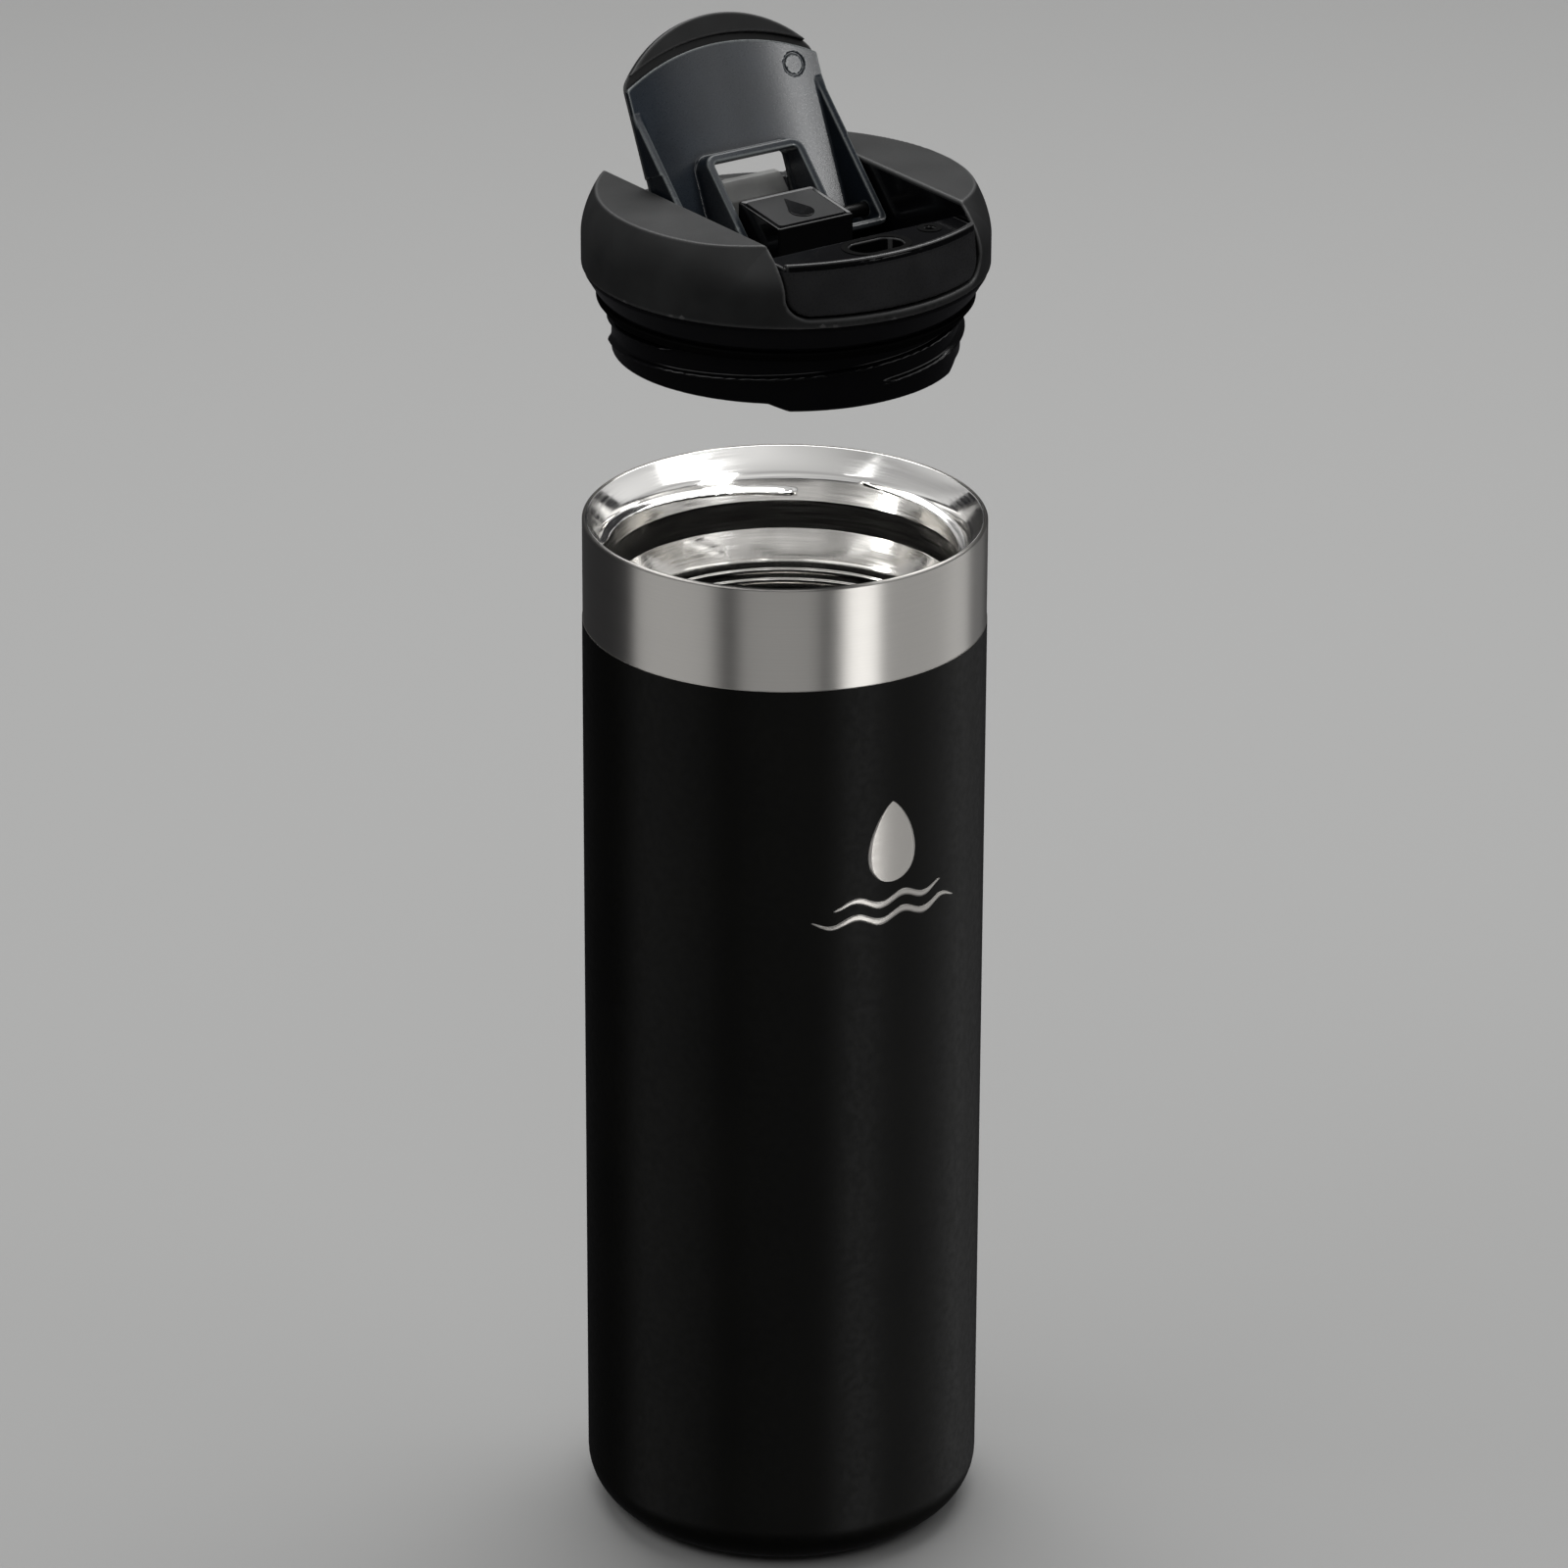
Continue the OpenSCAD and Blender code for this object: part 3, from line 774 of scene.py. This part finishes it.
def collar_field(x, y, z):
    """Soft collar: rounded shoulders, two hollow cheeks and the channel between them."""
    r = np.hypot(x, y)
    front_end = np.clip((FRONT_END_Y - y) / FRONT_END_RUN, 0, 1) ** 2
    rise = np.clip((z - SHOULDER_Z) / (CHEEK_H - SHOULDER_Z), 0, 1.1)
    wall = COLLAR_R - (SHOULDER_IN + FRONT_END_IN * front_end) * rise**1.8
    shell = both(r - wall, z - CHEEK_H, 0.18)
    shell = both(shell, FLANGE_Z - z, 0.8)
    channel = abs(x) - HALF_CHANNEL
    front = np.maximum(both(channel, FLANGE_Z + LEDGE_H - z, 4.0), y)
    rear = np.maximum(both(channel, DECK_Z - z, 0.6), -y)
    middle = np.maximum(channel, r - COLLAR_R + CHEEK_WALL + 0.3)
    opening = np.minimum(np.minimum(front, rear), middle)
    shell = both(shell, -opening, 0.55)
    hollow = np.maximum(r - wall + CHEEK_WALL, HALF_CHANNEL + CHANNEL_WALL - abs(x))
    hollow = np.maximum(hollow, z - CHEEK_H + CHEEK_TOP)
    bore = np.maximum(rod(y, z, PIN_R), abs(x) - HALF_CHANNEL - CHANNEL_WALL - 1)
    return np.maximum(np.maximum(shell, -hollow), -bore)


def lid_collar():
    """Soft-touch collar, glossy on the channel's inner walls."""
    size = COLLAR_R + 1
    points, quads, normals = net(collar_field, (-size, -size, 0.3), (size, size, CHEEK_H + 1), GRID)

    def pick(centre, facing):
        wall = (abs(facing[:, 0]) > 0.9) & (abs(abs(centre[:, 0]) - HALF_CHANNEL) < 0.2)
        return wall & (centre[:, 2] - DATUM < CHEEK_H - 0.9) & (centre[:, 1] > -27)

    # The channel's inner walls are gloss with a painted highlight along their edges
    piece = make("lid_collar_soft", shift(points, DATUM), quads, [SOFT, GLOSS_EDGE_HIGHLIGHT], normals, pick)
    place(piece, "lid", "soft_touch", "lid_collar")


def slot_field(x, y):
    """Field of the drink slot's plan."""
    return np.hypot(np.maximum(abs(x) - SLOT_HALF_X + SLOT_HALF_Y, 0), y - SLOT_Y) - SLOT_HALF_Y


def spout_face(x, y, z):
    """Field of the spout's front, which leans from the collar's round out to the rim's arc."""
    low_z = FLANGE_Z + 1.9
    low_r = COLLAR_R - 0.2
    up = np.clip((z - low_z) / (SHELF_Z - low_z), 0, 1.1)
    return np.hypot(x, y - (RIM_Y + RIM_ARC) * up) - low_r - (RIM_ARC - low_r) * up


def well_field(y, z):
    """Field below the shelf, the slope down to the well's floor, and the step up to the rear deck."""
    bends = [SLOPE_TOP_Y, SLOPE_FOOT_Y, STEP_FOOT_Y, STEP_TOP_Y]
    levels = [SHELF_Z, SHELF_Z, FLOOR_Z, FLOOR_Z, DECK_Z, DECK_Z]
    level = smooth_line(y, [-33, *bends, 33], levels)
    near_bends = [bend + side for bend in bends for side in (-0.1, 0.1)]
    steep = smooth_line(y, near_bends, [1, 1.14, 1.14, 1, 1, 2.9, 2.9, 1])
    return (z - level) / steep


def spout_field(x, y, z):
    """Spout, drinking well and rear deck between the cheeks."""
    face = spout_face(x, y, z)
    half = HALF_CHANNEL - SEAM
    front = both(face, both(abs(x) - half, FLANGE_Z + LEDGE_H + SEAM - z, 3.6), 0.6)
    inner = both(np.hypot(x, y) - COLLAR_R + 3.2, both(abs(x) - half, FLANGE_Z - 0.6 - z, 0.2), 0.2)
    body = np.where(y < SPOUT_BACK, np.minimum(front, inner), inner)
    body = both(body, well_field(y, z), 0.15)
    lip = both(both(face, -face - LIP_W, 0.3), both(z - SHELF_Z - LIP_H, SHELF_Z - 1 - z, 0.3), 0.35)
    lip = np.maximum(lip, np.maximum(abs(x) - half + 0.3, y - SPOUT_BACK))
    body = either(body, lip, 0.15)
    body = both(body, -slot_field(x, y), 0.3)
    body = np.maximum(body, VENT_R - np.hypot(x - VENT[0], y - VENT[1]))
    guide = np.maximum(np.maximum(abs(x) - GUIDE_HALF, GUIDE_FLOOR - z), GUIDE_FRONT - y)
    return np.maximum(body, -np.maximum(guide, y - GUIDE_BACK))


def lid_spout():
    """Glossy spout and deck, with a duller front face."""
    size = COLLAR_R + 1
    low = (-HALF_CHANNEL - 1, -size, -0.2)
    high = (HALF_CHANNEL + 1, size, SHELF_Z + 1.5)
    points, quads, normals = net(spout_field, low, high, GRID * 0.85)

    def pick(centre, facing):
        upright = abs(facing[:, 2]) < 0.6
        front = upright & (centre[:, 1] < SPOUT_BACK) & (centre[:, 2] < DATUM + SHELF_Z - 0.6)
        return front & (np.hypot(centre[:, 0], centre[:, 1]) > COLLAR_R - 3)

    # The spout's gloss carries a painted highlight along its outward edges
    piece = make("lid_spout", shift(points, DATUM), quads, [GLOSS_EDGE_HIGHLIGHT, FACE], normals, pick)
    place(piece, "lid", "gloss_lid", "lid_core")


def lid_neck():
    """Neck with its thread, cone under the collar and a lower lip in front."""
    roof = -0.6
    neck_low = -14.3
    cone_low = -3.85
    cone_r = 35.7
    lip_drop = 1.4
    lip_half_turn = 41
    top = FLANGE_Z - 0.02
    outline = rounded(
        [
            (0, roof, 0),
            (CAVITY_R, roof, 1.0),
            (CAVITY_R, neck_low, 0.2),
            (NECK_R, neck_low, 0.4),
            (NECK_R, cone_low, 0.3),
            (33.0, cone_low, 0.3),
            (cone_r, 0.6, 0.3),
            (cone_r, top, 0),
            (0, top, 0),
        ],
        6,
    )

    def warp(r, z, turn):
        """Outside thread, and the front of the lower edge drawn down."""
        rise = ridges(z, turn, bottom=-12, first=-3, sweep=170, depth=0.85, half=0.62)
        off = np.abs((turn + 180) % 360 - 180)
        lip = np.clip((lip_half_turn - off) / FADE, 0, 1) * (z < neck_low + 1)
        return r + rise * (r > NECK_R - 0.1), z - lip_drop * lip

    outline = fine(outline, 0.14, neck_low + 0.35, cone_low - 0.25)
    piece = revolve("lid_neck", outline, [GLOSS], warp, closed=False, dz=DATUM)
    place(piece, "lid", "gloss_lid", "lid_core")


def gasket():
    """Silicone ring with a soft lip."""
    inner = NECK_R + 0.05
    top = -3.95
    outline = rounded(
        [(inner, -6, 0.2), (32.5, -5.85, 0.5), (33.7, -4.3, 0.3), (33.4, top, 0.15), (inner, top, 0)], 5
    )
    place(revolve("gasket_ring", outline, [SILICONE], dz=DATUM), "gasket", "silicone", "lid_gasket")


# ---------- flip cover ----------


def cover_outline(x, y):
    """Plan of the closed cover, with the gap for the block."""
    sides = abs(x) - HALF_COVER
    tab = np.hypot(x, y - TAB_Y) - TAB_ARC
    front = both(np.where(y < TAB_Y, tab, sides), sides, 0.8)
    whole = both(front, y - COVER_BACK, 2.2)
    gap = both(abs(x) - HALF_BLOCK - GAP_SIDE, GAP_Y - y, 0.9)
    return np.maximum(whole, -gap)


def rim_distance(x, y):
    """Distance beyond the arc that the spout's rim follows."""
    return np.hypot(x, y - RIM_Y - RIM_ARC) - RIM_ARC


def cover_panel(x, y, z):
    """Field of the thin panel, which ends in front at the spout's lip."""
    level = np.maximum(COVER_Z - z, z - COVER_Z - PANEL_T)
    return both(both(cover_outline(x, y), level, 0.15), rim_distance(x, y) + LIP_W + 0.1, 0.25)


def cover_walls(x, y, z):
    """Field of the wedge-shaped walls along the sides and the frame round the gap."""
    slant = (COVER_Z - WEDGE_SLOPE * (y - WEDGE_TIP_Y) - z) / math.hypot(1, WEDGE_SLOPE)
    heel = both(slant, y - HEEL_Y, 1.6)
    heel_back = np.clip((10.5 - z) / 3, 0, 1) * (HEEL_Y - COVER_BACK)
    plan = cover_outline(x, y - heel_back * (y > 0))
    wall = both(both(plan, -plan - SIDE_T, 0.42), both(heel, z - COVER_Z - 0.9, 0.2), 0.42)
    return np.maximum(wall, WEDGE_TIP_Y - 0.5 - y)


def cover_field(x, y, z):
    """Underside moulding: panel and walls, bored for the pins, with its ring-shaped mark."""
    moulding = either(cover_panel(x, y, z), cover_walls(x, y, z), 0.5)
    moulding = np.maximum(moulding, z - COVER_Z - PANEL_T)
    ring = np.hypot(np.hypot(x - RING[0], y - RING[1]) - RING_R, z - COVER_Z) - RING_GROOVE
    return np.maximum(np.maximum(moulding, -rod(y, z, PIN_R)), -ring)


def flip_cover():
    """Satin underside, shaded as a very shallow dish."""
    dish_slope = 0.017
    dish_half = 16
    low = (-HALF_COVER - 1, -35, 1.6)
    points, quads, normals = net(cover_field, low, (HALF_COVER + 1, 7, COVER_Z + 2), GRID * 0.8)
    underside = np.clip(-normals[:, 2:] * 10 - 8, 0, 1)
    across = points[:, :1]
    tilt = dish_slope * across * np.clip(abs(across) / dish_half, 0, 1)
    normals = normals - underside * tilt * (1, 0, 0)
    normals /= np.linalg.norm(normals, axis=1)[:, None]
    piece = make("cover_moulding", swing_open(points), quads, [SATIN], swing(normals))
    place(piece, "cover", "gloss_lid", "flip_cover")


def skin_field(x, y, z):
    """Soft outer skin that also forms the thumb tab beyond the rim."""
    beyond = rim_distance(x, y)
    bottom = np.where(beyond > 0.3, COVER_Z, COVER_Z + 1)
    top = both(cover_outline(x, y), z - COVER_Z - COVER_T, 0.8)
    plate = both(top, COVER_Z + SKIN_LOW - z, 0.1)
    tab = both(both(top, bottom - z, 0.35), 0.3 - beyond, 0.25)
    return np.minimum(plate, np.maximum(tab, y - SPOUT_BACK))


def cover_skin():
    """Soft-touch outside of the cover."""
    low = (-HALF_COVER - 1, -39, COVER_Z - 0.8)
    points, quads, normals = net(skin_field, low, (HALF_COVER + 1, 6, COVER_Z + 3), GRID * 0.8)
    piece = make("cover_soft_skin", swing_open(points), quads, [SOFT], swing(normals))
    place(piece, "cover", "soft_touch", "cover_skin")


# ---------- hinge block and lock ----------


def hinge_block():
    """Post between the cover's arms, with a shallow seat for its plate."""
    foot = FLOOR_Z + 0.02
    outline = [(BLOCK_FRONT, foot), (BLOCK_FRONT, BLOCK_LOW), (BLOCK_BACK, BLOCK_HIGH), (BLOCK_BACK, foot)]
    piece = prism("hinge_post", outline, HALF_BLOCK, GLOSS, 0.35, seat=(0.9, 0.25))
    place(piece, "lid", "gloss_lid", "hinge_block")


def on_block(u, along, up):
    """Point on the block's sloping top, from its front edge."""
    c = math.cos(BLOCK_SLOPE)
    s = math.sin(BLOCK_SLOPE)
    y = BLOCK_FRONT + along * c - up * s
    z = BLOCK_LOW + along * s + up * c
    return Vector((u, y, z + DATUM)) * MM


def plate_piece(name, outline, low, high, material, edge):
    """Flat shape on the block's top between two levels."""
    base = [on_block(u, v, low) for u, v in outline]
    lift = on_block(0, 0, high) - on_block(0, 0, low)
    place(slab(name, base, lift, material, edge), "lid", "badge", "block_badge")


def block_badge():
    """Plate with a plain raised water drop."""
    half = 7
    near = 1.0
    far = 11.7
    corner = 0.6
    plate = [(-half, near, corner), (half, near, corner), (half, far, corner), (-half, far, corner)]
    plate_piece("badge_plate", rounded(plate, 5), -0.5, -0.03, PLATE, 0.08)
    drop_r = 2.3
    centre = 4.6
    tip = (0, 9.9)
    turns = np.radians(np.linspace(-215, 35, 28))
    drop = [(drop_r * math.cos(a), centre + drop_r * math.sin(a)) for a in turns] + [tip]
    plate_piece("badge_drop", drop, -0.1, 0.16, GLOSS, 0.07)


def lock_slider():
    """Light slider with a sloping thumb ridge."""
    foot = DECK_Z + 0.15
    outline = [
        (10.4, foot),
        (10.4, 10.1),
        (12.0, 11.9),
        (13.6, 12.9),
        (15.0, 12.9),
        (19.4, 7.6),
        (19.4, foot),
    ]
    place(prism("lock_thumb_piece", outline, HALF_BLOCK, GREY, 0.3), "lock", "slider_grey", "lock_slider")


# ---------- CAD nodes that stay ----------


def finish_cad_nodes():
    """Gives each CAD node that stays in view its material."""
    finishes = {
        "outer_base": STEEL,
        "base_cover": BRUSHED,
        "port_seal": BEAD,
        "heat_foil": COPPER,
        "getter": GETTER,
        "lid_bottom": GLOSS,
        "drink_seal": SILICONE,
        "block_screws": STEEL,
        "hinge_pins": BLACKENED,
        "lock_spring": STEEL,
    }
    for name, material in finishes.items():
        for held in frame["nodes"][name].material_slots:
            held.material = material


# ---------- studio ----------

# Camera: degrees round the mug and down, distance from the axis and height in metres, lens and roll
VIEW_TURN = 35.2
VIEW_PITCH = 23.26
VIEW_REACH = 1.218
VIEW_HEIGHT = 0.667
VIEW_ROLL = 0.0038
LENS = 167.3
SENSOR = 36


def camera():
    """Camera that looks down on the open lid and the body's mark."""
    data = bpy.data.cameras.new("camera")
    data.lens = LENS
    data.sensor_width = SENSOR
    turn = math.radians(-VIEW_TURN)
    spot = Vector((VIEW_REACH * math.sin(turn), -VIEW_REACH * math.cos(turn), VIEW_HEIGHT))
    aim = Matrix.Rotation(turn, 4, "Z") @ Matrix.Rotation(math.radians(90 - VIEW_PITCH), 4, "X")
    obj = add("camera", data)
    obj.matrix_world = Matrix.Translation(spot) @ aim @ Matrix.Rotation(VIEW_ROLL, 4, "Z")
    bpy.context.scene.camera = obj


def light_only(lamp, pieces):
    """Keeps a light to the given pieces."""
    group = bpy.data.collections.new(lamp.name + "_lit")
    for piece in pieces:
        group.objects.link(piece)
    lamp.light_linking.receiver_collection = group


def softbox(name, side, rise, reach, size, radiance, only=None):
    """Area light that faces the upper part of the mug. side is its angle to the right of the camera,
    seen from the mug, and rise is its angle above the mug. reach and size are in metres.
    only lists the pieces that it lights."""
    data = bpy.data.lights.new(name, "AREA")
    data.shape = "RECTANGLE"
    data.size, data.size_y = size
    data.energy = radiance * math.pi * size[0] * size[1]
    turn = math.radians(side - VIEW_TURN)
    up = math.radians(rise)
    target = Vector((0, 0, 0.15))
    way = Vector((math.sin(turn) * math.cos(up), -math.cos(turn) * math.cos(up), math.sin(up)))
    obj = add(name, data)
    obj.location = target + way * reach
    obj.rotation_euler = (-way).to_track_quat("-Z", "Y").to_euler()
    if only:
        light_only(obj, only)


def mouth_light():
    """Patchy overhead light for the liner, whose mouth the lifted lid would otherwise shade."""
    data = bpy.data.lights.new("mouth_light", "AREA")
    data.shape = "DISK"
    data.size = 2 * (BODY_R - 2.5) * MM
    data.energy = 0.9 * math.pi * (data.size / 2) ** 2 * math.pi
    data.use_nodes = True
    nodes = data.node_tree.nodes
    links = data.node_tree.links
    patches = nodes.new("ShaderNodeTexNoise")
    patches.inputs["Scale"].default_value = 50
    patches.inputs["Detail"].default_value = 1
    spread = nodes.new("ShaderNodeMapRange")
    spread.inputs["From Min"].default_value = 0.35
    spread.inputs["From Max"].default_value = 0.65
    spread.inputs["To Min"].default_value = 0.45
    spread.inputs["To Max"].default_value = 0.95
    links.new(nodes.new("ShaderNodeNewGeometry").outputs["Position"], patches.inputs["Vector"])
    links.new(patches.outputs["Fac"], spread.inputs["Value"])
    links.new(spread.outputs["Result"], nodes["Emission"].inputs["Strength"])
    obj = add("mouth_light", data)
    obj.location = (0, 0, (RIM + 3) * MM)
    light_only(obj, [bpy.data.objects["mug_liner"]])


def pale_floor():
    """Plain floor that is left out of reflections and throws no shadow, so that the low lights pass."""
    floor = Shader("pale_floor", (0.42, 0.42, 0.415), 0.6, specular=0.2)
    floor.rough(floor.noise(30, 3), 0.80, 0.84)
    half = 4000
    corners = [(-half, -half, 0), (half, -half, 0), (half, half, 0), (-half, half, 0)]
    sheet = make("floor", corners, [(0, 1, 2, 3)], [floor.material])
    sheet.visible_glossy = False
    sheet.visible_shadow = False


def lights():
    """Soft boxes for the whole mug, low ones for its bare steel, and a strip for its brightest pieces."""
    softbox("box_left", -70, 48, 1.3, (1.25, 0.7), 1.5)
    softbox("box_front", -4, 46, 1.6, (1.0, 0.6), 1.2)
    softbox("box_right", 92, 40, 1.4, (1.8, 0.7), 1.0)
    softbox("box_top", 176, 62, 1.5, (1.6, 1.1), 4.2)
    steel = [piece for piece in bpy.data.objects if piece.name.startswith(("mug_shell", "mark_"))]
    softbox("low_left", -66, -23, 1.3, (1.25, 0.9), 0.75, only=steel)
    softbox("low_front", -3, -23, 1.6, (1.25, 1.0), 0.62, only=steel)
    softbox("low_right", 92, -23, 1.4, (1.8, 0.9), 0.66, only=steel)
    softbox("rim_right", 128, -20, 1.4, (1.2, 0.9), 0.18, only=steel)
    softbox("low_strip", 44, -23, 1.2, (0.42, 0.9), 2.7, only=steel)
    bright = [bpy.data.objects[name] for name in ("mug_liner", "cover_moulding")]
    softbox("strip_right", 44, 18, 1.2, (0.40, 0.8), 12.0, only=bright)
    mouth_light()


def studio():
    """Floor, dim grey surroundings and lights."""
    pale_floor()
    world = bpy.data.worlds.new("studio")
    world.use_nodes = True
    world.node_tree.nodes["Background"].inputs[0].default_value = (0.03, 0.03, 0.032, 1)
    bpy.context.scene.world = world
    lights()
    bpy.context.scene.view_settings.view_transform = "Standard"


mug_shell()
mug_liner()
body_marks()
lid_collar()
lid_spout()
lid_neck()
gasket()
flip_cover()
cover_skin()
hinge_block()
block_badge()
lock_slider()
finish_cad_nodes()
studio()
camera()
